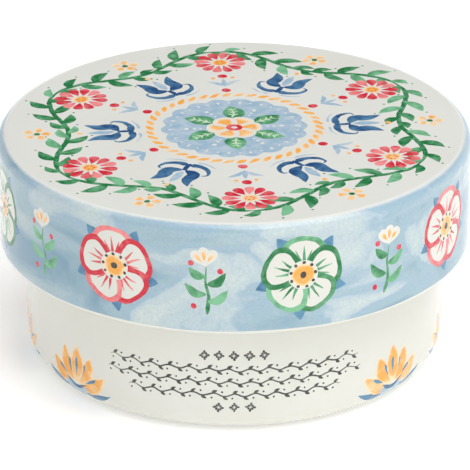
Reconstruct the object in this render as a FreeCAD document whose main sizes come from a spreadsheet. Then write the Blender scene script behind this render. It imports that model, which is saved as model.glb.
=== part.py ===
"""A round ceramic camembert baker in two pieces: a straight-sided dish on a foot ring, and a flat-topped
lid whose skirt slips down over the dish. The lid's ceiling rests on the dish's rim, and the skirt hangs
clear of the dish all the way round.

The frame is in millimetres. Its origin is the middle of the foot, on the table, with +Z up the axis.
"""

import FreeCAD, Part
import Sketcher
import os

# Driving dimensions: name, value in millimetres, meaning
SIZES = (
    ("dish_radius", 61.0, "outside of the dish at its rim"),
    ("dish_lean", 1.1, "how far the dish's outside leans in by the foot"),
    ("dish_wall", 4.2, "thickness of the dish's wall at its rim"),
    ("dish_floor", 4.0, "thickness of the dish's floor"),
    ("well_depth", 56.6, "from the rim down to the floor of the well"),
    ("well_lean", 0.8, "how far the well leans in by its floor"),
    ("well_round", 6.5, "round between the well's wall and its floor"),
    ("rim_round", 1.6, "round on both edges of the dish's rim"),
    ("foot_round", 7.4, "round between the dish's outside and its foot"),
    ("foot_land", 4.0, "width of the ring that the dish stands on"),
    ("foot_recess", 1.6, "depth of the hollow inside the foot ring"),
    ("foot_edge", 0.7, "round on the foot ring's inner edge"),
    ("skirt_gap", 1.8, "clearance between the dish and the skirt at the skirt's mouth"),
    ("skirt_wall", 4.7, "thickness of the lid's skirt at its mouth"),
    ("skirt_lean", 0.5, "how far the skirt's inside leans in by the ceiling"),
    ("skirt_depth", 27.7, "from the lid's ceiling down to the skirt's mouth"),
    ("lid_roof", 5.0, "thickness of the lid's flat top"),
    ("lid_edge", 3.0, "round on the lid's top edge"),
    ("mouth_round", 1.5, "round on both edges of the skirt's mouth"),
    ("ceiling_round", 2.5, "round between the lid's ceiling and its skirt"),
)
SIZE_OF = {name: value for name, value, meaning in SIZES}

# Heights and radii that several features share, as sums of the driving dimensions
FLOOR_TOP = "foot_recess + dish_floor"
DISH_TOP = FLOOR_TOP + " + well_depth"
LID_TOP = DISH_TOP + " + lid_roof"
MOUTH = DISH_TOP + " - skirt_depth"
FOOT_SIDE = "dish_radius - dish_lean"
RECESS_RADIUS = FOOT_SIDE + " - foot_round - foot_land"
WELL_MOUTH = "dish_radius - dish_wall"
WELL_FOOT = WELL_MOUTH + " - well_lean"
SKIRT_INSIDE = "dish_radius + skirt_gap"
CEILING_RADIUS = SKIRT_INSIDE + " - skirt_lean"
LID_RADIUS = SKIRT_INSIDE + " + skirt_wall"
AXIS = "0"

NEAR = 0.01  # how closely an edge has to match the place where it is looked for


def amount(total):
    """The value in millimetres of a sum of driving dimensions, such as 'dish_radius - dish_lean'."""
    result, sign = 0.0, 1
    for word in total.split():
        if word in ("+", "-"):
            sign = 1 if word == "+" else -1
        elif word != AXIS:
            result += sign * SIZE_OF[word]
    return result


def bound(total):
    """The same sum as an expression that reads the sheet."""
    return " ".join("Sizes." + word if word in SIZE_OF else word for word in total.split())


def make_sheet(doc):
    """Writes the driving dimensions to a spreadsheet, one row each, with an alias on each value."""
    sheet = doc.addObject("Spreadsheet::Sheet", "Sizes")
    for row, (name, value, meaning) in enumerate(SIZES, start=1):
        sheet.set(f"A{row}", name)
        sheet.set(f"B{row}", str(value))
        sheet.set(f"C{row}", meaning)
        sheet.setAlias(f"B{row}", name)
    doc.recompute()
    return sheet


def section_plane(body):
    """The body's own upright plane, which holds every half section."""
    return next(f for f in body.Origin.OriginFeatures if f.Role == "XZ_Plane")


def half_section(body, name, corners):
    """A closed outline of straight sides in the upright plane. Each corner is (radius, height), two sums of
    driving dimensions that its constraints are bound to."""
    sketch = body.newObject("Sketcher::SketchObject", name)
    sketch.AttachmentSupport = (section_plane(body), [""])
    sketch.MapMode = "FlatFace"
    points = [FreeCAD.Vector(amount(radius), amount(height), 0) for radius, height in corners]
    count = len(points)
    for side in range(count):
        sketch.addGeometry(Part.LineSegment(points[side], points[(side + 1) % count]), False)
    for side in range(count):
        sketch.addConstraint(Sketcher.Constraint("Coincident", side, 2, (side + 1) % count, 1))
    for corner, (radius, height) in enumerate(corners):
        for kind, label, total in (("DistanceX", "radius", radius), ("DistanceY", "height", height)):
            where = sketch.addConstraint(
                Sketcher.Constraint(kind, -1, 1, corner, 1, amount(total))
            )
            if total != AXIS:
                title = f"{label}_{corner}"
                sketch.renameConstraint(where, title)
                sketch.setExpression(f"Constraints.{title}", bound(total))
    return sketch


def turned(body, kind, name, corners):
    """Turns a half section once round the upright axis: a Revolution adds clay and a Groove takes it away."""
    sketch = half_section(body, name + "_section", corners)
    feature = body.newObject(kind, name)
    feature.Profile = sketch
    feature.ReferenceAxis = (sketch, ["V_Axis"])
    feature.Angle = 360
    body.Document.recompute()
    return feature


def ring_edge(shape, radius, height):
    """The name of the circular edge with this radius at this height."""
    for number, edge in enumerate(shape.Edges, start=1):
        if isinstance(edge.Curve, Part.Circle):
            off_radius = abs(edge.Curve.Radius - amount(radius))
            off_height = abs(edge.Curve.Center.z - amount(height))
            if off_radius < NEAR and off_height < NEAR:
                return f"Edge{number}"
    raise ValueError(f"no ring of radius {radius} at height {height}")


def rounded(body, name, size, rings):
    """Rounds the given rings, each (radius, height), with the radius that the sheet names."""
    base = body.Tip
    feature = body.newObject("PartDesign::Fillet", name)
    feature.Base = (base, [ring_edge(base.Shape, radius, height) for radius, height in rings])
    feature.Radius = SIZE_OF[size]
    feature.setExpression("Radius", bound(size))
    body.Document.recompute()
    return feature


def make_dish(doc):
    """The lower piece: a drafted cup with a rounded heel, a ring to stand on and a rounded rim."""
    body = doc.addObject("PartDesign::Body", "dish")
    body.Label = "dish"
    blank = ((AXIS, AXIS), (FOOT_SIDE, AXIS), ("dish_radius", DISH_TOP), (AXIS, DISH_TOP))
    well = ((AXIS, FLOOR_TOP), (WELL_FOOT, FLOOR_TOP), (WELL_MOUTH, DISH_TOP), (AXIS, DISH_TOP))
    recess = (
        (AXIS, AXIS),
        (RECESS_RADIUS, AXIS),
        (RECESS_RADIUS, "foot_recess"),
        (AXIS, "foot_recess"),
    )
    turned(body, "PartDesign::Revolution", "dish_blank", blank)
    turned(body, "PartDesign::Groove", "dish_well", well)
    turned(body, "PartDesign::Groove", "dish_recess", recess)
    rounded(body, "dish_heel", "foot_round", ((FOOT_SIDE, AXIS),))
    rounded(body, "dish_well_corner", "well_round", ((WELL_FOOT, FLOOR_TOP),))
    rounded(body, "dish_rim", "rim_round", (("dish_radius", DISH_TOP), (WELL_MOUTH, DISH_TOP)))
    rounded(
        body, "dish_foot_ring", "foot_edge", ((RECESS_RADIUS, AXIS), (RECESS_RADIUS, "foot_recess"))
    )
    return body


def make_lid(doc):
    """The upper piece: a flat top and a skirt that slips over the dish and stops on the dish's rim."""
    body = doc.addObject("PartDesign::Body", "lid")
    body.Label = "lid"
    blank = ((AXIS, MOUTH), (LID_RADIUS, MOUTH), (LID_RADIUS, LID_TOP), (AXIS, LID_TOP))
    hollow = ((AXIS, MOUTH), (SKIRT_INSIDE, MOUTH), (CEILING_RADIUS, DISH_TOP), (AXIS, DISH_TOP))
    turned(body, "PartDesign::Revolution", "lid_blank", blank)
    turned(body, "PartDesign::Groove", "lid_hollow", hollow)
    rounded(body, "lid_top_edge", "lid_edge", ((LID_RADIUS, LID_TOP),))
    rounded(body, "lid_ceiling_corner", "ceiling_round", ((CEILING_RADIUS, DISH_TOP),))
    rounded(body, "lid_mouth", "mouth_round", ((LID_RADIUS, MOUTH), (SKIRT_INSIDE, MOUTH)))
    return body


def check(doc, pieces):
    """Stops if any feature failed, or a piece is not one valid solid."""
    for thing in doc.Objects:
        if "Invalid" in thing.State or "Error" in thing.State:
            raise RuntimeError(f"{thing.Label} failed: {thing.State}")
    for piece in pieces:
        shape = piece.Shape
        if shape.isNull() or not shape.isValid() or len(shape.Solids) != 1:
            raise RuntimeError(f"{piece.Label} is not one valid solid")


def main():
    doc = FreeCAD.newDocument("camembert_baker")
    make_sheet(doc)
    pieces = [make_dish(doc), make_lid(doc)]
    doc.recompute()
    check(doc, pieces)
    os.makedirs("parts", exist_ok=True)
    for piece in pieces:
        piece.Shape.exportStep(f"parts/{piece.Label}.step")
        box = piece.Shape.optimalBoundingBox()
        print(
            f"{piece.Label}: {box.XLength:.2f} x {box.YLength:.2f} mm, z {box.ZMin:.2f} to {box.ZMax:.2f}, "
            f"{piece.Shape.Volume / 1000:.1f} cm3"
        )


main()
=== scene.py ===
"""Dresses a round glazed camembert baker: a white dish and a lid that slips over it, both painted under the
glaze in the manner of old earthenware.

Each piece is one closed skin of turned form. Where it is painted, the skin is laid out flat, and the
outlines of the brushwork are cut into its triangles, so every stroke is a field of its own pigment with a
clean edge. Lengths are in millimetres until they reach a mesh, and angles on the object are in degrees from
the front, positive to the right.
"""

import math
import random
from collections import namedtuple

import bpy
import numpy as np
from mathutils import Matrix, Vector, geometry, kdtree, noise


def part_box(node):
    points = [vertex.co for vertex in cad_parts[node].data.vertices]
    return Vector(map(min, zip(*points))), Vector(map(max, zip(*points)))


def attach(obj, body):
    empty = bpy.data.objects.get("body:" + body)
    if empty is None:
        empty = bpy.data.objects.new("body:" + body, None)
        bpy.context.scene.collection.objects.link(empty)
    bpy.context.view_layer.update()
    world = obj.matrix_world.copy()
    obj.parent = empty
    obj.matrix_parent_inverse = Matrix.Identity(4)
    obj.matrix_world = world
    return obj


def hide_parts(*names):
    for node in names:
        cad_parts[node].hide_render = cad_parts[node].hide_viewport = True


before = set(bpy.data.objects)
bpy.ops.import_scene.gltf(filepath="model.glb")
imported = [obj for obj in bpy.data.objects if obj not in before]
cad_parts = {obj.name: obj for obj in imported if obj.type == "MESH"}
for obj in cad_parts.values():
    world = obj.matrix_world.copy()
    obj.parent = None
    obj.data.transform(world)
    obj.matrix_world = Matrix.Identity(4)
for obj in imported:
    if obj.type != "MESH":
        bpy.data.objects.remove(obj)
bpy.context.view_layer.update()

MM = 0.001  # one millimetre in Blender's metres

# The lid and the dish: heights and the lid's radius come from the frame
LID_LOW, LID_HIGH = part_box("lid")
LID_RADIUS = round(LID_HIGH[0] / MM, 2)
LID_TOP = round(LID_HIGH[2] / MM, 2)
LID_MOUTH = round(LID_LOW[2] / MM, 2)
LID_EDGE_ROUND = 3.0
MOUTH_ROUND = 1.5
SKIRT_WALL = 4.7
SKIRT_LEAN = 0.5
CEILING_ROUND = 2.5
DISH_TOP = round(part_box("dish")[1][2] / MM, 2)
DISH_RADIUS = 61.0
DISH_LEAN = 1.1
DISH_WALL = 4.2
WELL_DEPTH = 56.6
WELL_LEAN = 0.8
WELL_ROUND = 6.5
RIM_ROUND = 1.6
HEEL_ROUND = 7.4
FOOT_LAND = 4.0
FOOT_RECESS = 1.6
FOOT_EDGE = 0.7

# How finely the skins are divided
COLUMNS = 360
SHEET_END = 164
ROW_ON_ROUND = 0.5
ROW_ON_WALL = 2.0
COARSE_ROW = 6.0
GRID_ON_DISC = 3.0
CLEAR_OF_STROKES = 0.3
CUT_TOLERANCE = 1e-4
HALVINGS = 40
WELD = 0.002
TINY = 1e-6

# The hand that paints
BRUSH_STEP = 0.5
WAVER_FINE = 0.16
WAVER_FINE_REACH = 1.7
WAVER_BROAD = 0.30
WAVER_BROAD_REACH = 7.0
UNEVEN = 0.2
HAND = random.Random(7)

# The names that meshes and materials share
MAP_NAME = "OFBake"
STRENGTH = "strength"

# The lid's top, in millimetres, and turns in degrees
TOP_TURN = -5.0
REPEATS = 6
SECTOR = 360 / REPEATS
MEDALLION_RADIUS = 20.4
MEDALLION_LOBES = 18
MEDALLION_DOTS = 36
MEDALLION_DOT_RING = 18.0
CORD_RADIUS = 24.2
CORD_TURNS = 42
CORD_BERRY_RADIUS = 27.6
TULIP_FOOT = 28.6
TULIP_SIZE = 0.84
SPRIG_FOOT = 30.4
DAHLIA_RADIUS = 49.0
DAHLIA_PETALS = 12
DAHLIA_SEEDS = 6
BLOSSOM_RADIUS = 56.2
BLOSSOM_PETALS = 5
VINE_RADIUS = 52.4
VINE_SWING = 5.2
LEAVES_A_WAVE = 15

# The lid's band
ROSES = 8
FIRST_ROSE = 16.0
ROSE_HEIGHT = 51.4
ROSE_PETALS = 5
ROSE_DOTS = 9
WASH_FADES_FROM = 0.6
WASH_FADES_TO = 2.1
WASH_LOW_EDGE = 35.75
WASH_EDGE_SWING = 0.12
WASH_EDGE_WAVES = 9

# The dish's wall
FAN_FLOWERS = (-147, -114, -81, -48, 48, 81, 114, 147, 180)
FAN_HEIGHT = 4.6
FAN_SIZE = 0.9

# The dark ornament on the front: each row's height, and its length or its stars' places
LEAFY_ROWS = ((20.3, 74.0), (16.4, 76.0), (12.5, 62.0))
STAR_ROWS = ((24.7, (-8.4, -4.2, 0.0, 4.2, 8.4)), (8.6, (-4.6, 0.0, 4.6)))
STAR_REACH = 1.55
STAR_PETALS = 8
LEAF_PITCH = 2.9

# Where each stretch of skin lies on the unit square
MAP_EDGE = 0.004
TOP_MAP_MIDDLE = 0.316
TOP_MAP_RADIUS = 0.312
BAND_STRIPS = (0.645, 0.822, 0.165)
CEILING_MAP = ((0.818, 0.2), 0.17)
DISH_STRIPS = (0.004, 0.36, 0.35)
WELL_MAP = ((0.14, 0.86), 0.135)
UNDERSIDE_MAP = ((0.44, 0.86), 0.135)

# The glaze, seen close: each grain is how many cells of noise there are to a metre
GLAZE_IOR = 1.5
GLAZE_ROUGHNESS = 0.10
HAZE = 0.06
HAZE_GRAIN = 45
RIPPLE_GRAIN = 90
RIPPLE_STRENGTH = 0.35
RIPPLE_DEPTH = 0.00012
DIMPLE_GRAIN = 620
DIMPLE_SHARE = 0.12
MOTTLE_GRAIN = 26
POOL_GRAIN = 300
POOL_SWING = 2.0
PIGMENT_GRAIN = 1500
PIGMENT_SWING = 0.5
CLOUD_GRAIN = 36
CLOUD_STRETCH = (0.8, 0.8, 1.5)
CLOUD_DRIFT = 0.9
STREAK_GRAIN = 70
STREAK_STRETCH = (0.4, 0.4, 1.5)
STREAK_DRIFT = 0.5
STREAKS_FROM = 0.52
STREAK_CONTRAST = 2.4
SPECKLE_GRAIN = 1400
SPECKLE_SWING = 0.7
SPECKLE_SHARE = 0.16
RAGGED_GRAIN = 900
RAGGED_SWING = 0.5
CLAY_GRAIN = 1800
CLAY_ROUGHNESS = 0.8
CLAY_STRENGTH = 0.6
CLAY_DEPTH = 0.0001

# Studio
CAMERA_AIM = (0.18, 0.0, 33.4)
CAMERA_DISTANCE = 1068.5
CAMERA_ELEVATION = 24.9
CAMERA_LENS = 283.3
SENSOR = 36.0
ROOM_LEVEL = 0.50
FLOOR_SIZE = 4.0
FLOOR_TONE = (0.90, 0.90, 0.86)
FLOOR_GAP = 0.00002
FLOOR_LIFT = 0.24
FLOOR_GLOW = 0.28

# Each light: its name, its place in metres, its width, height and power
LIGHTS = (
    ("key", (0.95, -1.05, 1.35), 2.4, 1.8, 9.5),
    ("low_card", (0.25, -1.20, 0.12), 1.6, 0.2, 0.5),
    ("overhead", (0.35, -0.35, 1.60), 1.4, 1.2, 14.3),
)

# The room that the glaze mirrors: how bright it is, from the ground, 0, up to overhead, 1
ROOM_IN_GLAZE = ((0.20, 1.0), (0.34, 0.14), (0.60, 0.14), (0.80, 0.7))


# Colours


def srgb(red, green, blue):
    """A colour read off a screen, as Blender's linear values."""
    return tuple(
        c / 12.92 if c <= 0.04045 else ((c + 0.055) / 1.055) ** 2.4
        for c in (red / 255, green / 255, blue / 255)
    )


# Each pigment where it lies thin and where it pools
PIGMENTS = {
    "cobalt": (srgb(94, 146, 180), srgb(14, 74, 128)),
    "sky": (srgb(204, 216, 224), srgb(156, 186, 208)),
    "green": (srgb(128, 194, 150), srgb(8, 118, 60)),
    "mint": (srgb(205, 228, 195), srgb(160, 208, 158)),
    "red": (srgb(246, 146, 146), srgb(212, 30, 56)),
    "yellow": (srgb(252, 229, 192), srgb(250, 174, 76)),
    "charcoal": (srgb(98, 97, 90), srgb(58, 58, 53)),
}
WHITE_GLAZE = srgb(231, 231, 226)
WHITE_TONES = ((0.30, WHITE_GLAZE), (0.75, srgb(225, 225, 217)))
WASH_PALE = srgb(212, 223, 221)
WASH_MIDDLE = srgb(168, 194, 205)
WASH_DEEP = srgb(128, 163, 186)
BARE_CLAY = ((0.35, srgb(222, 212, 192)), (0.65, srgb(204, 190, 165)))

# The wash from its pale clouds, past the darker edge where each one dried, to where it pools
CLOUD_TONES = (
    (0.33, WASH_PALE),
    (0.40, srgb(196, 212, 219)),
    (0.43, srgb(166, 192, 210)),
    (0.52, WASH_MIDDLE),
    (0.66, WASH_DEEP),
)


# Turned form


class HalfSection:
    """A half section of straight runs and tangent arcs, walked with the clay on its right.

    A place on it is the length walked from its first corner. It starts and ends on the axis. before[n]
    and after[n] are the lengths where the arc of corner n starts and ends.
    """

    def __init__(self, corners):
        """corners is a list of (radius, height, rounding)."""
        self.runs, self.before, self.after = [], [0.0], [0.0]
        self.length = 0.0
        points = [np.array(corner[:2]) for corner in corners]
        here = points[0]
        for index in range(1, len(points) - 1):
            heading = self.heading(here, points[index])
            leaving = self.heading(points[index], points[index + 1])
            turn = math.atan2(heading[0] * leaving[1] - heading[1] * leaving[0], heading @ leaving)
            rounding = corners[index][2]
            tangent = rounding * math.tan(abs(turn) / 2)
            bend_start = points[index] - heading * tangent
            self.walk(np.linalg.norm(bend_start - here), here, heading, 0.0)
            self.before.append(self.length)
            self.walk(rounding * abs(turn), bend_start, heading, turn)
            self.after.append(self.length)
            here = points[index] + leaving * tangent
        self.walk(np.linalg.norm(points[-1] - here), here, self.heading(here, points[-1]), 0.0)

    @staticmethod
    def heading(start, end):
        return (end - start) / np.linalg.norm(end - start)

    def walk(self, span, origin, heading, turn):
        self.runs.append((self.length, span, origin, heading, turn))
        self.length += span

    def at(self, lengths):
        """Radius, height and the two parts of the outward normal at these lengths."""
        lengths = np.clip(np.asarray(lengths, float), 0.0, self.length)
        place = np.zeros(lengths.shape + (2,))
        outward = np.zeros(lengths.shape + (2,))
        for start, span, origin, heading, turn in self.runs:
            here = (lengths >= start - TINY) & (lengths <= start + span + TINY)
            along = (lengths[here] - start)[:, None]
            left = np.array([-heading[1], heading[0]])
            if turn == 0.0:
                place[here] = origin + along * heading
                outward[here] = left
            else:
                bend = span / turn
                sine, cosine = np.sin(along / bend), np.cos(along / bend)
                place[here] = origin + bend * (heading * sine + left * (1 - cosine))
                outward[here] = left * cosine - heading * sine
        return place[..., 0], place[..., 1], outward[..., 0], outward[..., 1]

    def rows(self, start, end, step_on_round, step_on_run):
        """Lengths from start to end, close together on the arcs."""
        found = [start]
        for first, span, _, _, turn in self.runs:
            low, high = max(first, start), min(first + span, end)
            if high - low > TINY:
                step = step_on_run if turn == 0.0 else step_on_round
                count = math.ceil((high - low) / step)
                found += [low + (high - low) * k / count for k in range(1, count + 1)]
        return found

    def length_at_height(self, height, start, end):
        """Where, between start and end, a stretch that goes steadily down has this height."""
        for _ in range(HALVINGS):
            middle = (start + end) / 2
            if self.at([middle])[1][0] > height:
                start = middle
            else:
                end = middle
        return (start + end) / 2


def lid_section():
    """From the middle of the top, down the skirt, round its mouth and up to the middle of the ceiling."""
    inside = LID_RADIUS - SKIRT_WALL
    corners = [
        (0.0, LID_TOP, 0.0),
        (LID_RADIUS, LID_TOP, LID_EDGE_ROUND),
        (LID_RADIUS, LID_MOUTH, MOUTH_ROUND),
        (inside, LID_MOUTH, MOUTH_ROUND),
        (inside - SKIRT_LEAN, DISH_TOP, CEILING_ROUND),
        (0.0, DISH_TOP, 0.0),
    ]
    return HalfSection(corners)


def dish_section():
    """From the middle of the well, up its wall, over the rim, down the outside and under the foot."""
    foot_side = DISH_RADIUS - DISH_LEAN
    recess = foot_side - HEEL_ROUND - FOOT_LAND
    well = DISH_RADIUS - DISH_WALL
    floor = DISH_TOP - WELL_DEPTH
    corners = [
        (0.0, floor, 0.0),
        (well - WELL_LEAN, floor, WELL_ROUND),
        (well, DISH_TOP, RIM_ROUND),
        (DISH_RADIUS, DISH_TOP, RIM_ROUND),
        (foot_side, 0.0, HEEL_ROUND),
        (recess, 0.0, FOOT_EDGE),
        (recess, FOOT_RECESS, FOOT_EDGE),
        (0.0, FOOT_RECESS, 0.0),
    ]
    return HalfSection(corners)


# Brush marks: each is an array of points in its motif's own axes


def disc(x, y, radius):
    count = max(10, int(2 * math.pi * radius / BRUSH_STEP))
    angles = np.linspace(0, 2 * math.pi, count, endpoint=False)
    return np.column_stack([x + radius * np.cos(angles), y + radius * np.sin(angles)])


def scalloped(radius, lobes, depth):
    """A round form whose edge swells into so many shallow lobes."""
    angles = np.linspace(0, 2 * math.pi, lobes * 12, endpoint=False)
    reach = radius + depth * (np.abs(np.cos(lobes * angles / 2)) - 0.6)
    return np.column_stack([reach * np.cos(angles), reach * np.sin(angles)])


def bend_between(p0, p1, p2, p3):
    """The stretch from p1 to p2 of a smooth line through all four."""
    steps = max(2, round(np.linalg.norm(p2 - p1) / BRUSH_STEP))
    t = np.linspace(0, 1, steps, endpoint=False)[:, None]
    return (
        p1
        + (p2 - p0) * t / 2
        + (p0 - 2.5 * p1 + 2 * p2 - 0.5 * p3) * t**2
        + (1.5 * p1 - 0.5 * p0 - 1.5 * p2 + 0.5 * p3) * t**3
    )


def line_through(points):
    """A smooth open line through the points."""
    points = np.asarray(points, float)
    ends = np.vstack([2 * points[0] - points[1], points, 2 * points[-1] - points[-2]])
    spans = [bend_between(*ends[k : k + 4]) for k in range(len(points) - 1)]
    return np.vstack(spans + [points[-1:]])


def loop_through(points):
    """A smooth closed line through the points."""
    points = np.asarray(points, float)
    ring = np.vstack([points[-1:], points, points[:2]])
    return np.vstack([bend_between(*ring[k : k + 4]) for k in range(len(points))])


def ribbon(points, width):
    """A brush stroke along a smooth line. width is a function of the share of the way along it."""
    path = line_through(points)
    steps = np.linalg.norm(np.diff(path, axis=0), axis=1)
    share = np.clip(np.concatenate([[0], np.cumsum(steps)]) / steps.sum(), 0, 1)
    heading = np.gradient(path, axis=0)
    heading /= np.linalg.norm(heading, axis=1)[:, None]
    side = np.column_stack([-heading[:, 1], heading[:, 0]])
    half = np.array([width(s) / 2 for s in share])[:, None]
    return np.vstack([path + side * half, (path - side * half)[::-1]])


def even_stroke(points, width):
    """A stroke of even width with soft ends."""
    return ribbon(points, lambda s: width * min(1.0, 0.35 + 6 * min(s, 1 - s)))


def tapering_stroke(points, width):
    """A stroke that starts full and is drawn out to a point."""
    return ribbon(points, lambda s: 0.12 + width * (1 - s) ** 0.7 * min(1.0, 0.3 + 8 * s))


def leaf(points, width):
    """A stroke that is pointed at both ends and widest near its middle."""
    return ribbon(points, lambda s: 0.06 + width * abs(math.sin(math.pi * s**0.85)) ** 0.9)


def drop(start, end, width):
    """A teardrop: pointed at its start, round at its end."""
    start, end = np.array(start, float), np.array(end, float)
    reach = np.linalg.norm(end - start)
    axis = (end - start) / reach
    side = np.array([-axis[1], axis[0]])
    angles = np.linspace(0, 2 * math.pi, max(10, int(2.4 * reach / BRUSH_STEP)), endpoint=False)
    along = (1 - np.cos(angles)) / 2
    across = np.sin(angles) * along**0.8
    across *= width / 2 / np.abs(across).max()
    return start + along[:, None] * reach * axis + across[:, None] * side


def petal(length, width):
    """A broad petal that grows from the origin along +Y, fullest past its middle."""
    side = [(0.42, 0.14), (0.86, 0.40), (1.0, 0.66), (0.66, 0.92)]
    right = [(width / 2 * x, length * y) for x, y in side]
    left = [(-x, y) for x, y in reversed(right)]
    return loop_through([(0, 0)] + right + [(0, length)] + left)


def scaled_about(points, centre, factor):
    return np.asarray(centre) + (points - np.asarray(centre)) * factor


def mirrored(points):
    return points * np.array([-1, 1])


class Place:
    """Where a motif stands: its origin, how far it is turned clockwise in degrees, and its size."""

    def __init__(self, x=0.0, y=0.0, turn=0.0, size=1.0):
        self.origin = np.array([x, y])
        sine, cosine = math.sin(math.radians(turn)), math.cos(math.radians(turn))
        self.axes = size * np.array([[cosine, -sine], [sine, cosine]])

    def put(self, points):
        return self.origin + np.asarray(points, float) @ self.axes

    def inside(self, x=0.0, y=0.0, turn=0.0, size=1.0):
        """A place that is given in this one's axes."""
        made = Place(0, 0, turn, size)
        made.origin = self.put([(x, y)])[0]
        made.axes = made.axes @ self.axes
        return made


def all_round(place, count, start=0.0):
    """Copies of a place, turned evenly all round. start is the first one's turn, in shares of a step."""
    return [place.inside(turn=(index + start) * 360 / count) for index in range(count)]


# A field of one pigment. strength goes from 0, thin, to 1, pooled. It loses fade by the end that is
# farther from origin, or climbs from 0 at the outline to its full value at the heart, if there is one.
Stroke = namedtuple("Stroke", "outline pigment strength fade origin heart")


class Painting:
    """Strokes on a flat sheet, in the order in which they are laid."""

    def __init__(self):
        self.strokes = []

    def lay(self, place, points, pigment, strength=0.75, fade=0.0, heart=None):
        strength += HAND.uniform(-UNEVEN, UNEVEN)
        outline = wavered(place.put(points))
        self.strokes.append(Stroke(outline, pigment, strength, fade, place.origin, heart))

    def lay_soft(self, place, points, pigment, strength=0.8, core=0.6):
        """A touch that is fullest in its core and thins out to its edge."""
        heart = wavered(place.put(scaled_about(points, points.mean(axis=0), core)))
        self.lay(place, points, pigment, strength, heart=heart)
        self.strokes.append(self.strokes[-1]._replace(outline=heart, heart=None))

    def lay_field(self, outline, pigment):
        """A field with its outline just as it is given."""
        self.strokes.append(Stroke(outline, pigment, 1.0, 0.0, np.zeros(2), None))


def wander(x, y, reach, amount):
    """How far the hand strays here. Its line swings to and fro over about this reach."""
    spot = Vector((x, y, 0.0)) / reach
    return amount * noise.noise(spot), amount * noise.noise(spot + Vector((0.0, 0.0, 9.5)))


def wavered(points):
    """The points as an unsteady hand would set them."""
    moved = []
    for x, y in points:
        fine = wander(x, y, WAVER_FINE_REACH, WAVER_FINE)
        broad = wander(x, y, WAVER_BROAD_REACH, WAVER_BROAD)
        moved.append((x + fine[0] + broad[0], y + fine[1] + broad[1]))
    return np.array(moved)


# The lid's top: x to the right and y to the back


def medallion_leaf(painting, spoke):
    """A green leaf with a pale midrib and three veins on either side of it."""
    painting.lay(spoke, leaf([(0, 6.4), (0.6, 10.6), (0, 15.8)], 6.4), "green", 0.8, 0.4)
    painting.lay(spoke, tapering_stroke([(0.1, 7.4), (0.5, 10.6), (0.1, 14.2)], 0.6), "mint", 0.2)
    for side in (-1, 1):
        for foot in (8.6, 10.6, 12.4):
            vein = [(0.4, foot), (0.4 + side * 0.8, foot + 0.9), (0.4 + side * 1.5, foot + 1.2)]
            painting.lay(spoke, leaf(vein, 0.5), "mint", 0.2)


def medallion(painting, centre):
    """A pale blue disc with a yellow flower, green leaves and white dots."""
    painting.lay(centre, scalloped(MEDALLION_RADIUS, MEDALLION_LOBES, 1.5), "sky", 0.6)
    for index, spot in enumerate(all_round(centre, MEDALLION_DOTS)):
        half = 0.9 if index % 2 else 0.45
        low, high = MEDALLION_DOT_RING - half, MEDALLION_DOT_RING + half
        painting.lay(spot, drop((0, low), (0, high), 0.8), "white")
    for spoke, between in zip(all_round(centre, REPEATS), all_round(centre, REPEATS, 0.5)):
        medallion_leaf(painting, spoke)
        for reach, size in ((13.6, 0.65), (11.4, 0.5), (9.6, 0.4)):
            painting.lay(between, disc(0, reach, size), "white")
    for spoke in all_round(centre, REPEATS, 0.5):
        painting.lay(spoke, petal(8.0, 7.4), "white")
        painting.lay_soft(spoke, drop((0, 1.0), (0, 7.2), 5.0), "yellow", 0.8)
    painting.lay(centre, disc(0, 0, 2.3), "red", 0.9)
    painting.lay(centre, disc(0, 0, 0.8), "white")


def cord_ring(painting, centre):
    """A twisted yellow cord round the medallion, with a red berry outside it at each repeat."""
    twist = [(-1.9, -1.3), (-0.6, -0.5), (0.6, 0.5), (1.9, 1.3)]
    for spoke in all_round(centre, CORD_TURNS):
        painting.lay_soft(spoke.inside(0, CORD_RADIUS), leaf(twist, 1.9), "yellow", 0.9, 0.7)
    for spoke in all_round(centre, REPEATS):
        painting.lay(spoke, disc(0, CORD_BERRY_RADIUS, 1.4), "red", 0.95)


def tulip(painting, place):
    """A cobalt tulip between two curled leaves, 16 mm high."""
    for side in (np.asarray, mirrored):
        curl = tapering_stroke([(0.4, 1.2), (4.0, 0.8), (7.6, 2.8), (8.8, 6.2), (7.0, 7.6)], 2.8)
        painting.lay(place, side(curl), "cobalt", 0.85, 0.4)
        flank = leaf([(0.4, 5.2), (4.4, 7.4), (4.6, 12.0), (6.8, 16.6)], 4.6)
        painting.lay(place, side(flank), "cobalt", 0.9, 0.45)
        accent = tapering_stroke([(2.0, -1.8), (5.6, -1.6), (9.4, 0.2)], 1.0)
        painting.lay(place, side(accent), "sky", 0.6)
    painting.lay(place, even_stroke([(0, 0), (0.15, 2.6), (0, 5.6)], 1.7), "cobalt", 0.95)
    painting.lay(place, leaf([(0, 6.4), (0, 10.8), (0, 15.8)], 3.0), "sky", 0.9)
    painting.lay_soft(place, drop((0, 16.6), (0, 19.4), 2.0), "yellow", 0.8)


def berry_sprig(painting, place):
    """Pale blue strokes that fan out under a red berry, 9 mm high."""
    painting.lay(place, leaf([(0, 0), (0.1, 3.0), (0, 5.6)], 1.6), "sky", 0.8)
    for side in (np.asarray, mirrored):
        painting.lay(place, side(leaf([(0.5, 0.6), (2.4, 2.9), (5.0, 4.2)], 1.5)), "sky", 0.7)
        painting.lay(place, side(disc(2.8, 6.6, 0.7)), "yellow", 0.8)
    painting.lay(place, disc(0, 7.9, 1.4), "red", 0.9)


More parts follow.
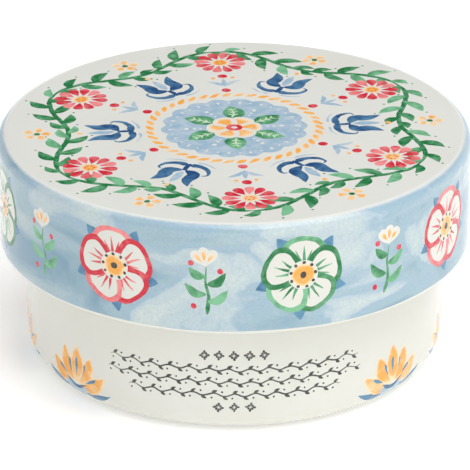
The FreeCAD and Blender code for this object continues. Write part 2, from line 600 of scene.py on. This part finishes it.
def dahlia(painting, place):
    """A round red flower seen from above, 15 mm across, with a yellow heart."""
    for index, spoke in enumerate(all_round(place, DAHLIA_PETALS)):
        strength = 0.95 if index % 3 else 0.3
        painting.lay(spoke, drop((0, 2.5), (0, 7.7), 2.9), "red", strength, 0.25)
    painting.lay_soft(place, disc(0, 0, 2.4), "yellow", 0.9, 0.7)
    for spoke in all_round(place, DAHLIA_SEEDS, 0.25):
        painting.lay(spoke, disc(0, 1.2, 0.3), "red", 0.9)


def blossom(painting, place):
    """A small pale orange flower of five petals."""
    for spoke in all_round(place, BLOSSOM_PETALS):
        painting.lay_soft(spoke, drop((0, 0.6), (0, 4.0), 2.6), "yellow", 0.6)
    painting.lay(place, disc(0, 0, 0.9), "green", 0.8)


def vine_point(degrees):
    reach = VINE_RADIUS + VINE_SWING * math.cos(math.radians(REPEATS * degrees))
    return np.array([math.sin(math.radians(degrees)), math.cos(math.radians(degrees))]) * reach


def vine_leaf(painting, centre, degrees, side):
    """A leaf on one side of the stem: large on its slants and small where it turns."""
    root, ahead = vine_point(degrees), vine_point(degrees + 1)
    along = math.degrees(math.atan2(*(ahead - root)))
    room = abs(math.sin(math.radians(REPEATS * degrees)))
    length = 5.2 + 3.4 * room + HAND.uniform(-0.4, 0.4)
    place = centre.inside(*root, along + side * (22 + 22 * room))
    blade = leaf([(0, 0), (side * 0.9, length / 2), (0, length)], 2.4 + 1.0 * room)
    strength = HAND.choice((0.95, 0.85, 0.35))
    painting.lay(place, blade, "green", strength, 0.3)
    painting.lay(place, disc(side * 0.4, length + 1.1, 0.36), "green", 0.8)


def vine(painting, centre):
    """A green stem that swings in and out round the top, with leaves on both sides of it."""
    for index in range(REPEATS):
        angles = np.linspace(index * SECTOR - 0.5, (index + 1) * SECTOR + 0.5, 16)
        painting.lay(centre, even_stroke([vine_point(a) for a in angles], 1.5), "green", 0.9)
    leaves = LEAVES_A_WAVE * REPEATS
    for index in range(leaves):
        vine_leaf(painting, centre, (index + 0.5) * 360 / leaves, 1 if index % 2 else -1)


def paint_lid_top():
    """The round picture on the lid's flat top."""
    painting = Painting()
    centre = Place(turn=TOP_TURN)
    vine(painting, centre)
    for outer, inner in zip(all_round(centre, REPEATS), all_round(centre, REPEATS, 0.5)):
        dahlia(painting, outer.inside(0, DAHLIA_RADIUS, HAND.uniform(0, 30)))
        blossom(painting, inner.inside(0, BLOSSOM_RADIUS, HAND.uniform(0, 40)))
        tulip(painting, inner.inside(0, TULIP_FOOT, HAND.uniform(-2, 2), TULIP_SIZE))
        berry_sprig(painting, outer.inside(0, SPRIG_FOOT, HAND.uniform(-3, 3)))
    cord_ring(painting, centre)
    medallion(painting, centre)
    return painting


# The lid's band: x is the way round it, and y the length down its section, negated


def wild_rose(painting, place, edge):
    """Five white petals, edged and veined in one pigment, over blue sepals: 24 mm across."""
    shape = petal(11.6, 13.0)
    for spoke in all_round(place, ROSE_PETALS, 0.5):
        painting.lay(spoke, leaf([(0, 4.0), (0.5, 9.0), (0, 13.6)], 5.0), "cobalt", 0.35, 0.3)
    for index, spoke in enumerate(all_round(place, ROSE_PETALS)):
        painting.lay(spoke, shape, edge, 0.95 if index % 3 else 0.3)
        painting.lay(spoke, scaled_about(shape, (0, 6.4), 0.74), "white")
        for lean, reach in ((-2.4, 7.4), (2.4, 7.4), (0, 8.8)):
            vein = [(0.3 * lean, 3.4), (0.65 * lean, 5.4), (lean, reach)]
            painting.lay(spoke, tapering_stroke(vein, 0.9), edge, 0.7, 0.3)
    painting.lay(place, disc(0, 0, 4.3), "white")
    painting.lay_soft(place, disc(0, 0, 3.4), "yellow", 0.95, 0.7)
    for spoke in all_round(place, ROSE_DOTS):
        painting.lay(spoke, disc(0, 3.6, 0.5), "charcoal", 0.8)
    painting.lay(place, disc(0, 0, 1.0), "charcoal", 0.8)


def spray(painting, place):
    """A leafy stem between two flowers, with a white bud at its tip and berries, 20 mm high."""
    stem = [(-0.6, -10.0), (0.5, -5.0), (-0.3, 0.0), (0.2, 4.6)]
    painting.lay(place, tapering_stroke(stem, 1.1), "green", 0.7)
    for side, foot, reach in ((1, -6.4, 5.6), (-1, -4.2, 6.0), (1, -1.2, 5.4), (-1, 1.2, 4.6)):
        tip = (side * reach, foot + 0.62 * reach)
        blade = [(0.1 * side, foot), (side * reach * 0.55, foot + 0.1 * reach), tip]
        painting.lay(place, leaf(blade, 2.5), "green", HAND.choice((0.3, 0.7, 0.9)), 0.3)
    for side, foot in ((-1, -7.6), (1, 2.6), (-1, 5.4)):
        painting.lay(place, disc(side * 3.9, foot, 0.85), "red", 0.8)
    for lean in (-38, 38, 0):
        bud = place.inside(0, 4.6, lean)
        painting.lay(bud, drop((0, -0.6), (0, 5.4), 3.0), "white")
        painting.lay_soft(bud, drop((0, 1.0), (0, 4.3), 1.3), "yellow", 0.7)


def wash_field(section, start, end):
    """The blue wash, from the lid's rounded edge down to a line just above the mouth."""
    top = -(start + WASH_FADES_FROM)
    low = -section.length_at_height(WASH_LOW_EDGE, start, end)
    xs = np.radians(np.linspace(SHEET_END - 360, SHEET_END, COLUMNS + 1)) * LID_RADIUS
    upper = np.column_stack([xs, np.full_like(xs, top)])
    swings = WASH_EDGE_SWING * np.sin(xs / LID_RADIUS * WASH_EDGE_WAVES)
    lower = np.column_stack([xs, low + swings])
    return np.vstack([upper, lower[::-1]])


def way_round(degrees, radius):
    """The way round a wall to this angle, within the sheet."""
    turns = math.ceil((degrees - SHEET_END) / 360)
    return math.radians(degrees - 360 * turns) * radius


def paint_lid_band(section, start, end):
    """The blue band round the skirt, with its flowers."""
    painting = Painting()
    painting.lay_field(wash_field(section, start, end), "wash")
    level = -section.length_at_height(ROSE_HEIGHT, start, end)
    pitch = 360 / ROSES
    for index in range(ROSES):
        degrees = FIRST_ROSE + index * pitch
        x, y = way_round(degrees, LID_RADIUS), level + HAND.uniform(-0.3, 0.3)
        edge = "red" if index % 2 else "green"
        wild_rose(painting, Place(x, y, HAND.uniform(-6, 6)), edge)
        x = way_round(degrees + pitch / 2, LID_RADIUS)
        spray(painting, Place(x, level - 0.6, HAND.uniform(-7, 7)))
    return painting


# The dish's wall: its axes are like the band's


def fan_flower(painting, place):
    """A yellow flower of five pointed petals that grows up from the foot between blue blades."""
    for side in (np.asarray, mirrored):
        blade = leaf([(1.0, 0.2), (8.0, -0.6), (15.0, 2.2)], 3.0)
        painting.lay(place, side(blade), "cobalt", 0.35, 0.3)
        for points in ([(1.4, 1.4), (7.4, 3.2), (12.6, 7.6)], [(0.8, 2.4), (4.6, 7.0), (6.2, 13.2)]):
            painting.lay_soft(place, side(leaf(points, 5.6)), "yellow", 0.9, 0.75)
        for low, high in (((2.2, 4.6), (3.8, 9.6)), ((4.2, 3.2), (8.6, 5.8))):
            painting.lay(place, side(drop(low, high, 1.1)), "cobalt", 0.1)
    painting.lay_soft(place, leaf([(0, 2.6), (0.2, 9.0), (0, 15.6)], 6.0), "yellow", 0.9, 0.75)
    painting.lay(place, drop((0, 4.8), (0, 11.2), 1.2), "cobalt", 0.1)
    painting.lay(place, leaf([(-5.2, 1.6), (0, -1.8), (5.2, 1.6)], 4.4), "sky", 0.8)
    painting.lay(place, leaf([(-4.6, 2.8), (0, 0.6), (4.6, 2.8)], 1.5), "cobalt", 0.5)


def star(painting, place):
    """Small dark petals, long and short by turns."""
    for index, spoke in enumerate(all_round(place, STAR_PETALS)):
        reach = STAR_REACH if index % 2 == 0 else 0.7 * STAR_REACH
        painting.lay(spoke, drop((0, 0.2), (0, reach), 0.72), "charcoal")


def leafy_line(painting, place, length):
    """A dark waving line with a small leaf and a dot in each bend."""
    bends = round(length / LEAF_PITCH)
    xs = np.linspace(-length / 2, length / 2, 4 * bends + 1)
    ys = 0.4 * np.sin(np.linspace(0, bends * math.pi, 4 * bends + 1))
    painting.lay(place, even_stroke(np.column_stack([xs, ys]), 0.46), "charcoal")
    for index in range(bends):
        x = (index + 0.5) * length / bends - length / 2
        side = 1 if index % 2 == 0 else -1
        blade = leaf([(x - 0.5, 0.3 * side), (x + 0.2, 0.95 * side), (x + 1.1, 1.4 * side)], 0.85)
        painting.lay(place, blade, "charcoal")
        painting.lay(place, disc(x - 0.6, -0.95 * side, 0.3), "charcoal")


def paint_dish_wall(section, start, end):
    """Yellow flowers round the heel, and rows of small dark ornament on the front."""
    painting = Painting()

    def place_at(x, height, turn=0.0, size=1.0):
        return Place(x, -section.length_at_height(height, start, end), turn, size)

    for degrees in FAN_FLOWERS:
        x = way_round(degrees, DISH_RADIUS)
        fan_flower(painting, place_at(x, FAN_HEIGHT, HAND.uniform(-3, 3), FAN_SIZE))
    for height, length in LEAFY_ROWS:
        leafy_line(painting, place_at(0, height), length)
    for height, places in STAR_ROWS:
        for x in places:
            star(painting, place_at(x, height, HAND.uniform(-8, 8)))
    return painting


# Cutting the strokes into the skin


def clear_of_strokes(painting, grid):
    """The grid's points that keep a little way off every outline."""
    outlines = np.vstack([stroke.outline for stroke in painting.strokes])
    tree = kdtree.KDTree(len(outlines))
    for index, (x, y) in enumerate(outlines):
        tree.insert((x, y, 0.0), index)
    tree.balance()
    return [point for point in grid if tree.find((*point, 0.0))[2] > CLEAR_OF_STROKES]


def within(outline, centres):
    """The numbers of the centres that lie inside the outline."""
    low, high = outline.min(axis=0), outline.max(axis=0)
    near = np.flatnonzero(((centres >= low) & (centres <= high)).all(axis=1))
    x, y = centres[near, 0][:, None], centres[near, 1][:, None]
    x1, y1 = outline[:, 0], outline[:, 1]
    x2, y2 = np.roll(x1, -1), np.roll(y1, -1)
    rise = np.where(y2 == y1, TINY, y2 - y1)
    crossed = ((y1 > y) != (y2 > y)) & (x < x1 + (y - y1) * (x2 - x1) / rise)
    return near[crossed.sum(axis=1) % 2 == 1]


def doubled_area(flat, triangles):
    """Twice each triangle's area, negative where it goes round clockwise."""
    a, b, c = (flat[triangles[:, k]] for k in range(3))
    return (b - a)[:, 0] * (c - a)[:, 1] - (b - a)[:, 1] * (c - a)[:, 0]


def cut(border, seams, grid, painting):
    """Triangles that fill the border and have every outline and seam among their edges.

    Returns their corners on the sheet, and for each the number of the stroke on top, or -1 on bare glaze.
    """
    points, edges = [], []

    def join(line, closed):
        first, count = len(points), len(line)
        points.extend(Vector((x, y)) for x, y in line)
        for index in range(count if closed else count - 1):
            edges.append((first + index, first + (index + 1) % count))

    join(border, True)
    for seam in seams:
        join(seam, False)
    for stroke in painting.strokes:
        join(stroke.outline, True)
    points.extend(Vector(point) for point in clear_of_strokes(painting, grid))
    made = geometry.delaunay_2d_cdt(points, edges, [], 0, CUT_TOLERANCE, False)
    flat = np.array([tuple(point) for point in made[0]])
    triangles = np.array([face for face in made[2] if len(face) == 3])
    area = doubled_area(flat, triangles)
    triangles[area < 0] = triangles[area < 0][:, ::-1]
    triangles = triangles[np.abs(area) > TINY]
    triangles = triangles[within(np.asarray(border), flat[triangles].mean(axis=1))]
    centres = flat[triangles].mean(axis=1)
    owner = np.full(len(triangles), -1)
    for number, stroke in enumerate(painting.strokes):
        owner[within(stroke.outline, centres)] = number
    return flat[triangles], owner


def nearest(outline, corners):
    """How far each corner is from the nearest point of the outline."""
    gaps = corners[:, :, None, :] - outline[None, None, :, :]
    return np.linalg.norm(gaps, axis=3).min(axis=2)


def strengths_of(stroke, corners):
    """How thickly the stroke's pigment lies at these corners."""
    if stroke.heart is not None:
        to_edge = nearest(stroke.outline, corners)
        to_heart = nearest(stroke.heart, corners)
        return stroke.strength * to_edge / np.maximum(to_edge + to_heart, TINY)
    reach = np.linalg.norm(stroke.outline - stroke.origin, axis=1)
    share = (np.linalg.norm(corners - stroke.origin, axis=2) - reach.min()) / np.ptp(reach)
    return stroke.strength - stroke.fade * np.clip(share, 0, 1)


def paint_corners(painting, corners, owner):
    """The strength at each corner, and the name of each triangle's paint."""
    strengths = np.ones(corners.shape[:2])
    for number, stroke in enumerate(painting.strokes):
        mine = owner == number
        if mine.any():
            strengths[mine] = strengths_of(stroke, corners[mine])
    paints = ["white" if number < 0 else painting.strokes[number].pigment for number in owner]
    return np.clip(strengths, 0, 1), np.array(paints)


def add_object(name, data):
    made = bpy.data.objects.new(name, data)
    bpy.context.scene.collection.objects.link(made)
    return made


class Skin:
    """Gathers stretches of triangles and welds them into one closed mesh."""

    def __init__(self):
        self.stretches = []

    def add(self, positions, normals, maps, strengths, paints):
        self.stretches.append((positions, normals, maps, strengths, paints))

    def build(self, name, materials):
        """The mesh object. materials is {paint: material}, and unused paints are left out."""
        parts = [np.concatenate(part) for part in zip(*self.stretches)]
        positions, normals, maps, strengths, paints = parts
        positions, normals = positions.reshape(-1, 3), normals.reshape(-1, 3)
        keys = np.round(positions / WELD).astype(np.int64)
        _, first, number = np.unique(keys, axis=0, return_index=True, return_inverse=True)
        corners = number.reshape(-1, 3)
        kept = (corners != np.roll(corners, 1, axis=1)).all(axis=1)
        mesh = bpy.data.meshes.new(name)
        mesh.from_pydata((positions[first] * MM).tolist(), [], corners[kept].tolist())
        used = [paint for paint in materials if paint in paints]
        for paint in used:
            mesh.materials.append(materials[paint])
        slots = np.array([used.index(paint) for paint in paints[kept]], np.int32)
        mesh.polygons.foreach_set("material_index", slots)
        mesh.polygons.foreach_set("use_smooth", np.ones(len(slots), bool))
        sheet = mesh.uv_layers.new(name=MAP_NAME)
        sheet.uv.foreach_set("vector", maps[kept].astype(np.float32).ravel())
        strength = mesh.attributes.new(STRENGTH, "FLOAT", "CORNER")
        strength.data.foreach_set("value", strengths[kept].astype(np.float32).ravel())
        mesh.normals_split_custom_set_from_vertices(normals[first].tolist())
        return add_object(name, mesh)


def on_section(section, angles, lengths):
    """Positions and normals at these angles, in radians from the front, and lengths."""
    radius, height, out, up = section.at(lengths)
    sine, cosine = np.sin(angles), -np.cos(angles)
    positions = np.stack([radius * sine, radius * cosine, height], axis=-1)
    normals = np.stack([out * sine, out * cosine, up], axis=-1)
    return positions, normals


def add_plain(skin, section, start, end, map_at, paint="white", step_on_round=ROW_ON_ROUND):
    """Rings of one paint between two lengths. map_at turns angles and lengths into the map."""
    rows = section.rows(start, end, step_on_round, COARSE_ROW)
    angles = np.linspace(-math.pi, math.pi, COLUMNS + 1)
    corners = []
    for near, far in zip(rows, rows[1:]):
        for left, right in zip(angles, angles[1:]):
            if near > TINY:
                corners.append(((left, near), (left, far), (right, near)))
            if far < section.length - TINY:
                corners.append(((right, near), (left, far), (right, far)))
    angles, lengths = np.moveaxis(np.array(corners), -1, 0)
    positions, normals = on_section(section, angles, lengths)
    paints = np.array([paint] * len(corners))
    skin.add(positions, normals, map_at(angles, lengths), np.ones(angles.shape), paints)


def add_painted_wall(skin, section, start, end, radius, painting, map_at, thinned=None):
    """A stretch of wall with its strokes cut in, and a seam at each side for the map's two halves.
    thinned, where it is given, changes the strengths by length."""
    xs = np.radians(np.linspace(SHEET_END - 360, SHEET_END, COLUMNS + 1)) * radius
    rows = section.rows(start, end, ROW_ON_ROUND, ROW_ON_WALL)
    border = [(x, -start) for x in xs]
    border += [(xs[-1], -row) for row in rows[1:-1]]
    border += [(x, -end) for x in xs[::-1]]
    border += [(xs[0], -row) for row in rows[-2:0:-1]]
    sides = (-math.pi / 2 * radius, math.pi / 2 * radius)
    seams = [[(x, -row) for row in rows] for x in sides]
    grid = [(x, -row) for row in rows[1:-1] for x in xs[1:-1]]
    corners, owner = cut(border, seams, grid, painting)
    strengths, paints = paint_corners(painting, corners, owner)
    angles, lengths = corners[..., 0] / radius, -corners[..., 1]
    if thinned is not None:
        strengths = thinned(lengths, strengths, owner)
    positions, normals = on_section(section, angles, lengths)
    skin.add(positions, normals, map_at(angles, lengths), strengths, paints)


def add_painted_disc(skin, height, radius, painting, map_at):
    """A flat disc with its strokes cut in."""
    angles = np.linspace(-math.pi, math.pi, COLUMNS, endpoint=False)
    border = np.column_stack([radius * np.sin(angles), -radius * np.cos(angles)])
    steps = np.arange(-radius, radius, GRID_ON_DISC)
    grid = [(x, y) for x in steps for y in steps if math.hypot(x, y) < radius - GRID_ON_DISC]
    corners, owner = cut(border, [], grid, painting)
    strengths, paints = paint_corners(painting, corners, owner)
    positions = np.concatenate([corners, np.full(corners.shape[:2] + (1,), height)], axis=-1)
    normals = np.zeros_like(positions)
    normals[..., 2] = 1.0
    skin.add(positions, normals, map_at(corners), strengths, paints)


# The maps


def disc_map(radius):
    """The flat top, just as it is seen from above."""
    return lambda corners: TOP_MAP_MIDDLE + corners * TOP_MAP_RADIUS / radius


def polar_map(island, pole, farthest):
    """A round island: the distance from its middle is the length walked from the pole."""
    (u, v), radius = island

    def at(angles, lengths):
        reach = (lengths - pole) * radius / abs(farthest - pole)
        return np.stack([u + reach * np.sin(angles), v - np.abs(reach) * np.cos(angles)], axis=-1)

    return at


def strip_map(strips, start, end):
    """Two strips across the square: the front half of a wall, and the back half."""
    front_low, back_low, height = strips

    def at(angles, lengths):
        middle = angles.mean(axis=-1, keepdims=True)
        is_front = np.abs(middle) < math.pi / 2
        from_back = np.where(middle < 0, angles + 2 * math.pi, angles) - math.pi / 2
        turned = np.where(is_front, angles + math.pi / 2, from_back)
        u = MAP_EDGE + (1 - 2 * MAP_EDGE) * turned / math.pi
        v = np.where(is_front, front_low, back_low) + height * (end - lengths) / (end - start)
        return np.stack([u, v], axis=-1)

    return at


# Materials


def new_node(tree, kind):
    return tree.nodes.new("ShaderNode" + kind)


def feed(node, name, value):
    """Sets one input of a node to a number, a colour or another node's output."""
    socket = node.inputs[name]
    if isinstance(value, bpy.types.NodeSocket):
        node.id_data.links.new(value, socket)
    else:
        socket.default_value = (*value, 1.0) if socket.type == "RGBA" else value


def emptied_tree(owner):
    """The node tree of a new material or world, ready to be filled."""
    owner.use_nodes = True
    owner.node_tree.nodes.clear()
    return owner.node_tree


def new_material(name):
    material = bpy.data.materials.new(name)
    tree = emptied_tree(material)
    output = new_node(tree, "OutputMaterial")
    shader = new_node(tree, "BsdfPrincipled")
    feed(output, "Surface", shader.outputs["BSDF"])
    return material, tree, shader


def noise_node(tree, scale, detail, stretch=(1, 1, 1), distortion=0.0):
    """Noise in the object's own space. scale is how many cells there are to a metre."""
    place = new_node(tree, "TexCoord")
    mapping = new_node(tree, "Mapping")
    feed(mapping, "Vector", place.outputs["Object"])
    feed(mapping, "Scale", stretch)
    grain = new_node(tree, "TexNoise")
    feed(grain, "Vector", mapping.outputs["Vector"])
    feed(grain, "Scale", scale)
    feed(grain, "Detail", detail)
    feed(grain, "Distortion", distortion)
    return grain.outputs["Fac"]


def math_node(tree, operation, first, second, clamp=False):
    node = new_node(tree, "Math")
    node.operation = operation
    node.use_clamp = clamp
    feed(node, 0, first)
    feed(node, 1, second)
    return node.outputs[0]


def swing(tree, scale, detail, amount):
    """Noise that swings about 0."""
    value = math_node(tree, "SUBTRACT", noise_node(tree, scale, detail), 0.5)
    return math_node(tree, "MULTIPLY", value, amount)


def ramp_node(tree, factor, stops):
    """stops is a list of (position, colour)."""
    node = new_node(tree, "ValToRGB")
    ramp = node.color_ramp
    while len(ramp.elements) < len(stops):
        ramp.elements.new(0.5)
    for element, (position, colour) in zip(ramp.elements, stops):
        element.position = position
        element.color = (*colour, 1.0)
    feed(node, "Fac", factor)
    return node.outputs["Color"]


def mix_node(tree, factor, first, second):
    """The colours from first to second."""
    node = new_node(tree, "Mix")
    node.data_type = "RGBA"
    feed(node, "Factor", factor)
    feed(node, "A", first)
    feed(node, "B", second)
    return node.outputs["Result"]


def uneven_surface(tree, shader, height, strength, depth):
    """Bumps of this height, in shares of a depth in metres."""
    bump = new_node(tree, "Bump")
    feed(bump, "Strength", strength)
    feed(bump, "Distance", depth)
    feed(bump, "Height", height)
    feed(shader, "Normal", bump.outputs["Normal"])


def glass_surface(tree, shader):
    """The glaze itself: glossy, with the faint ripple and dimples that it sets with."""
    feed(shader, "IOR", GLAZE_IOR)
    dimples = math_node(tree, "MULTIPLY", noise_node(tree, DIMPLE_GRAIN, 1.0), DIMPLE_SHARE)
    height = math_node(tree, "ADD", noise_node(tree, RIPPLE_GRAIN, 1.0), dimples)
    uneven_surface(tree, shader, height, RIPPLE_STRENGTH, RIPPLE_DEPTH)
    haze = math_node(tree, "MULTIPLY", noise_node(tree, HAZE_GRAIN, 2.0), HAZE)
    feed(shader, "Roughness", math_node(tree, "ADD", haze, GLAZE_ROUGHNESS))


def strength_socket(tree):
    node = new_node(tree, "Attribute")
    node.attribute_name = STRENGTH
    return node.outputs["Fac"]


def glazed(name, colour_under):
    """Glaze over the colour that colour_under makes in a node tree."""
    material, tree, shader = new_material(name)
    feed(shader, "Base Color", colour_under(tree))
    glass_surface(tree, shader)
    return material


def bare_white(tree):
    """Plain white, very slightly mottled."""
    return ramp_node(tree, noise_node(tree, MOTTLE_GRAIN, 3.0), WHITE_TONES)


def brushed(tree, thin, pooled):
    """A pigment brushed on under the glaze: it pools unevenly and has a fine grain."""
    pools = swing(tree, POOL_GRAIN, 2.0, POOL_SWING)
    grain = swing(tree, PIGMENT_GRAIN, 1.0, PIGMENT_SWING)
    uneven = math_node(tree, "ADD", pools, grain)
    depth = math_node(tree, "ADD", strength_socket(tree), uneven, True)
    return ramp_node(tree, depth, [(0.0, thin), (1.0, pooled)])


def blue_wash(tree):
    """A broad watery wash: clouds whose edges dried a little darker, thinning out at the lid's edge."""
    clouds = noise_node(tree, CLOUD_GRAIN, 5.0, CLOUD_STRETCH, CLOUD_DRIFT)
    tide = ramp_node(tree, clouds, CLOUD_TONES)
    streaks = noise_node(tree, STREAK_GRAIN, 3.0, STREAK_STRETCH, STREAK_DRIFT)
    lifted = math_node(tree, "SUBTRACT", streaks, STREAKS_FROM)
    lifted = math_node(tree, "MULTIPLY", lifted, STREAK_CONTRAST, True)
    cloudy = mix_node(tree, lifted, tide, WASH_PALE)
    speckle = swing(tree, SPECKLE_GRAIN, 3.0, SPECKLE_SWING)
    speckle = math_node(tree, "ADD", speckle, SPECKLE_SHARE, True)
    wash = mix_node(tree, speckle, cloudy, WASH_DEEP)
    ragged = swing(tree, RAGGED_GRAIN, 2.0, RAGGED_SWING)
    edge = math_node(tree, "MULTIPLY", strength_socket(tree), 1 + RAGGED_SWING)
    edge = math_node(tree, "SUBTRACT", edge, RAGGED_SWING / 2)
    cover = math_node(tree, "ADD", edge, ragged, True)
    return mix_node(tree, cover, WHITE_GLAZE, wash)


def bare_clay():
    """The foot ring, wiped clean of glaze before firing."""
    material, tree, shader = new_material("bare_clay")
    grit = noise_node(tree, CLAY_GRAIN, 4.0)
    feed(shader, "Base Color", ramp_node(tree, grit, BARE_CLAY))
    feed(shader, "Roughness", CLAY_ROUGHNESS)
    uneven_surface(tree, shader, grit, CLAY_STRENGTH, CLAY_DEPTH)
    return material


def make_materials():
    materials = {
        "white": glazed("white_glaze", bare_white),
        "wash": glazed("blue_wash", blue_wash),
        "clay": bare_clay(),
    }
    for name, tones in PIGMENTS.items():
        materials[name] = glazed(name + "_pigment", lambda tree: brushed(tree, *tones))
    return materials


# The two pieces


def thinned_wash(start):
    """Thins the band's first stroke, the wash, out over the lid's rounded edge."""

    def thinned(lengths, strengths, owner):
        along = (lengths - start - WASH_FADES_FROM) / (WASH_FADES_TO - WASH_FADES_FROM)
        return np.where((owner == 0)[:, None], np.clip(along, 0, 1), strengths)

    return thinned


def make_lid(materials):
    section = lid_section()
    edge, mouth = section.before[1], section.after[2]
    skin = Skin()
    add_painted_disc(skin, LID_TOP, edge, paint_lid_top(), disc_map(edge))
    band = paint_lid_band(section, edge, mouth)
    strips = strip_map(BAND_STRIPS, edge, mouth)
    add_painted_wall(skin, section, edge, mouth, LID_RADIUS, band, strips, thinned_wash(edge))
    ceiling = polar_map(CEILING_MAP, section.length, mouth)
    add_plain(skin, section, mouth, section.length, ceiling)
    return skin.build("lid_glazed", materials)


def make_dish(materials):
    section = dish_section()
    rim, heel, land = section.before[3], section.after[4], section.before[5]
    skin = Skin()
    add_plain(skin, section, 0.0, rim, polar_map(WELL_MAP, 0.0, rim))
    wall = paint_dish_wall(section, rim, heel)
    add_painted_wall(skin, section, rim, heel, DISH_RADIUS, wall, strip_map(DISH_STRIPS, rim, heel))
    underside = polar_map(UNDERSIDE_MAP, section.length, heel)
    add_plain(skin, section, heel, land, underside, "clay")
    add_plain(skin, section, land, section.length, underside, "white", FOOT_EDGE / 3)
    return skin.build("dish_glazed", materials)


# Studio


def stand(name, data, place, aim):
    """Puts a camera or a light in its place, facing a point. Both are in metres."""
    holder = add_object(name, data)
    holder.location = place
    holder.rotation_euler = (Vector(aim) - Vector(place)).to_track_quat("-Z", "Y").to_euler()
    return holder


def make_camera():
    """The camera, fitted to the outline in the photograph."""
    camera = bpy.data.cameras.new("camera")
    camera.lens = CAMERA_LENS
    camera.sensor_width = SENSOR
    camera.clip_start = 0.01
    camera.clip_end = 20
    angle = math.radians(CAMERA_ELEVATION)
    away = Vector((0, -math.cos(angle), math.sin(angle)))
    aim = Vector(CAMERA_AIM) * MM
    bpy.context.scene.camera = stand("camera", camera, aim + away * CAMERA_DISTANCE * MM, aim)


def make_lights():
    """Broad soft lights: one overhead, one front right, and a faint one low in front."""
    for name, place, width, height, power in LIGHTS:
        light = bpy.data.lights.new(name, "AREA")
        light.shape = "RECTANGLE"
        light.size = width
        light.size_y = height
        light.energy = power
        stand(name, light, place, (0, 0, 0))


def make_world():
    """A white sweep near the ground with a dim room above it. The camera sees pure white."""
    world = bpy.data.worlds.new("room")
    bpy.context.scene.world = world
    tree = emptied_tree(world)
    output = new_node(tree, "OutputWorld")
    background = new_node(tree, "Background")
    direction = new_node(tree, "TexCoord")
    parts = new_node(tree, "SeparateXYZ")
    feed(parts, "Vector", direction.outputs["Generated"])
    walls = ramp_node(tree, parts.outputs["Z"], [(at, (level,) * 3) for at, level in ROOM_IN_GLAZE])
    rays = new_node(tree, "LightPath")
    glossy = math_node(tree, "MAXIMUM", rays.outputs["Is Glossy Ray"], rays.outputs["Is Transmission Ray"])
    lit = mix_node(tree, glossy, (ROOM_LEVEL,) * 3, walls)
    seen = mix_node(tree, rays.outputs["Is Camera Ray"], lit, (1.0,) * 3)
    feed(background, "Color", seen)
    feed(output, "Surface", background.outputs["Background"])


def make_floor():
    """A white floor that keeps the soft shadow. The camera and reflections see it pure white, other rays a
    slightly warm tone, and it glows faintly, lighting the object from below like a light table.
    """
    half, low = FLOOR_SIZE / 2, -FLOOR_GAP
    corners = [(-half, -half, low), (half, -half, low), (half, half, low), (-half, half, low)]
    mesh = bpy.data.meshes.new("floor")
    mesh.from_pydata(corners, [], [(0, 1, 2, 3)])
    material, tree, shader = new_material("floor_paper")
    rays = new_node(tree, "LightPath")
    seen = math_node(tree, "MAXIMUM", rays.outputs["Is Camera Ray"], rays.outputs["Is Glossy Ray"])
    tone = mix_node(tree, seen, FLOOR_TONE, (1.0,) * 3)
    # Painted light: the floor's glow lights the object from below, and the camera sees a brighter glow
    # instead
    above = math_node(tree, "MULTIPLY", rays.outputs["Is Camera Ray"], FLOOR_LIFT - FLOOR_GLOW)
    feed(shader, "Base Color", tone)
    feed(shader, "Emission Color", tone)
    feed(shader, "Emission Strength", math_node(tree, "ADD", above, FLOOR_GLOW))
    feed(shader, "Roughness", 1.0)
    feed(shader, "Specular IOR Level", 0.0)
    mesh.materials.append(material)
    floor = add_object("floor", mesh)


def main():
    bpy.context.scene.view_settings.view_transform = "Standard"
    materials = make_materials()
    for piece, node in ((make_lid(materials), "lid"), (make_dish(materials), "dish")):
        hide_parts(node)
        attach(piece, "root")
    make_floor()
    make_world()
    make_lights()
    make_camera()


main()
